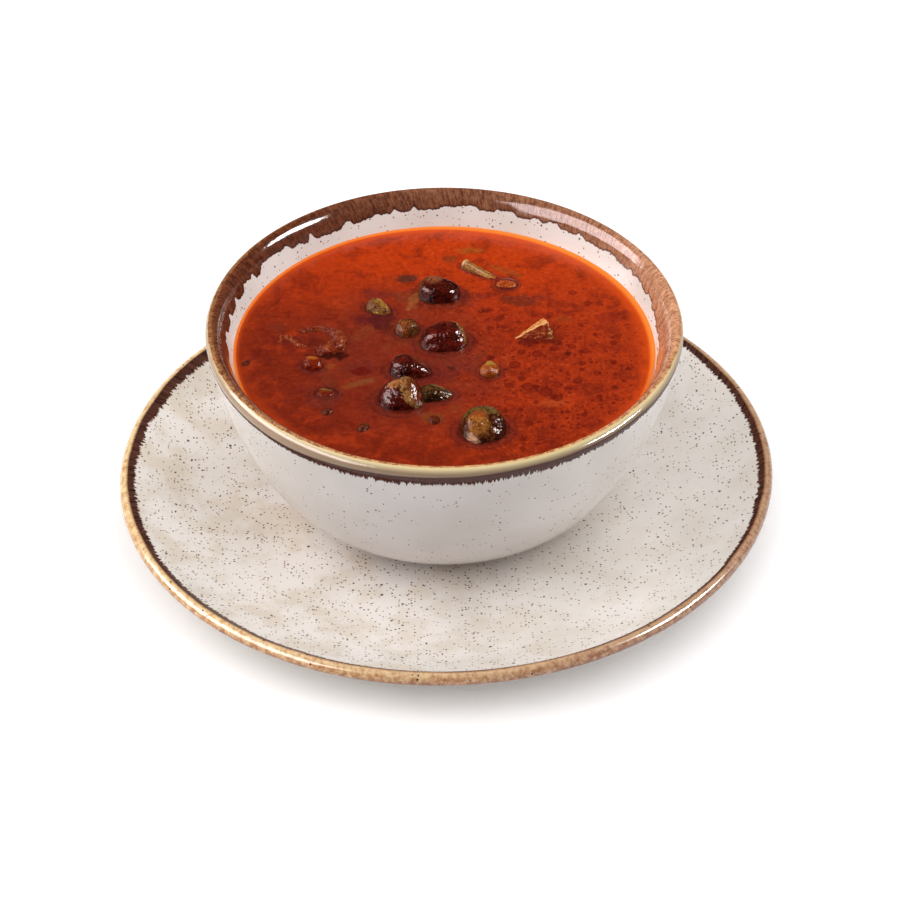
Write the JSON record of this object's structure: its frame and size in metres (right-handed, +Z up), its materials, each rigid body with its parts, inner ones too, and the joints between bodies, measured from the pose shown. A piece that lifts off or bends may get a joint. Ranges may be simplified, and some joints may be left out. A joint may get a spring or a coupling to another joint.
{
  "type": "bowl of okra soup",
  "caption": "Round stoneware bowl of tomato and okra soup standing on its matching underplate, okra and vegetable pieces half sunk in the surface.",
  "frame": {"origin": "on the table, under the middle of the underplate", "axes": "+Z up; -Y towards the side that the picture shows in front; +X to its right"},
  "size_m": [0.2234, 0.22, 0.0773],
  "materials": {
    "stoneware": "speckled cream glaze with a brown brushed rim, glossy",
    "soup": "oily, glossy, orange at the edge",
    "okra": "dark red-brown, wet, wrinkled, olive caps",
    "okra_small": "brown to olive, wet",
    "okra_cut": "dark red-brown cut face with a tan edge, wet",
    "pepper": "orange-brown, wet",
    "vegetable_skin": "crinkled, red-brown, wet",
    "stalk": "ribbed, pale yellow, wet"
  },
  "bodies": {
    "root": {"plate": "stoneware", "bowl": "stoneware", "soup": "soup", "okra_1": "okra", "okra_2": "okra", "okra_3": "okra", "okra_4": "okra", "okra_5": "okra", "okra_6": "okra", "okra_small_1": "okra_small", "okra_small_2": "okra_small", "okra_bud": "okra_small", "okra_sunk": "okra_small", "okra_tip": "okra_small", "pepper_bump": "pepper", "curled_skin": "vegetable_skin", "folded_skin": "vegetable_skin", "stalk_strip": "stalk", "okra_wedge": "okra_cut"}
  },
  "joints": []
}
